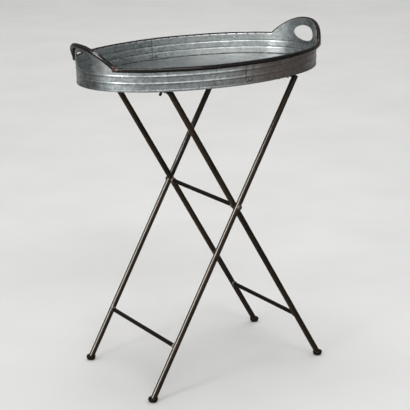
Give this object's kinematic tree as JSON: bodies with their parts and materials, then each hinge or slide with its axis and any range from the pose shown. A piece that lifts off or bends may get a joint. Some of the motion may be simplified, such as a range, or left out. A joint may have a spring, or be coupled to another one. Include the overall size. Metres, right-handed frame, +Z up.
{
  "type": "butlers tray table",
  "caption": "Oval galvanised tray with a black rod rim and raised end handles, lifting off a folding X stand of dark round rod.",
  "frame": {"origin": "on the floor under the middle of the table, at the centre of the bounding box's base", "axes": "+X along the tray's long axis towards the right handle, -Y to the front, +Z up"},
  "size_m": [0.5906, 0.388, 0.7632],
  "materials": {
    "galvanised_sheet": "mottled hot-dip zinc, half shiny",
    "zinc_rivet": "dull zinc",
    "rim_rod": "satin black lacquer",
    "rim_weld": "brown weld under thin lacquer",
    "clip_steel": "blackened spring steel",
    "stand_rod": "satin brown-black lacquer",
    "stand_weld": "satin brown-black lacquer over weld",
    "pivot_rivet": "satin brown-black lacquer",
    "foot_plastic": "glossy brown-black"
  },
  "bodies": {
    "inner_frame": {"inner_leg_front": "stand_rod", "inner_leg_back": "stand_rod", "inner_top_rail": "stand_rod", "inner_stretcher": "stand_rod", "pivot_middle_rod": "stand_rod", "pivot_rivet_front": "pivot_rivet", "pivot_rivet_back": "pivot_rivet", "inner_foot_front": "foot_plastic", "inner_foot_back": "foot_plastic", "inner_weld_beads": "stand_weld"},
    "outer_frame": {"outer_leg_front": "stand_rod", "outer_leg_back": "stand_rod", "outer_top_rail": "stand_rod", "outer_stretcher": "stand_rod", "outer_foot_front": "foot_plastic", "outer_foot_back": "foot_plastic", "outer_weld_beads": "stand_weld"},
    "tray": {"tray_floor": "galvanised_sheet", "tray_wall_left": "galvanised_sheet", "tray_wall_right": "galvanised_sheet", "rim_front": "rim_rod", "rim_back": "rim_rod", "rim_handle_left": "rim_rod", "rim_handle_right": "rim_rod", "rim_corner_welds": "rim_weld", "seam_rivets": "zinc_rivet", "clip_left_front": "clip_steel", "clip_left_back": "clip_steel", "clip_right_front": "clip_steel", "clip_right_back": "clip_steel", "clip_rivets": "zinc_rivet"}
  },
  "joints": [
    {"name": "tray_lift", "type": "slide", "parent": "inner_frame", "child": "tray", "axis": [0, 0, 1], "range_m": [0, 0.58]},
    {"name": "stand_fold", "type": "hinge", "parent": "inner_frame", "child": "outer_frame", "pos_m": [0, 0, 0.398], "axis": [0, -1, 0], "range_deg": [0, 56]}
  ],
  "couplings": [
    {"joint": "stand_fold", "follows": "tray_lift", "rad_per_m": 1.6667}
  ]
}
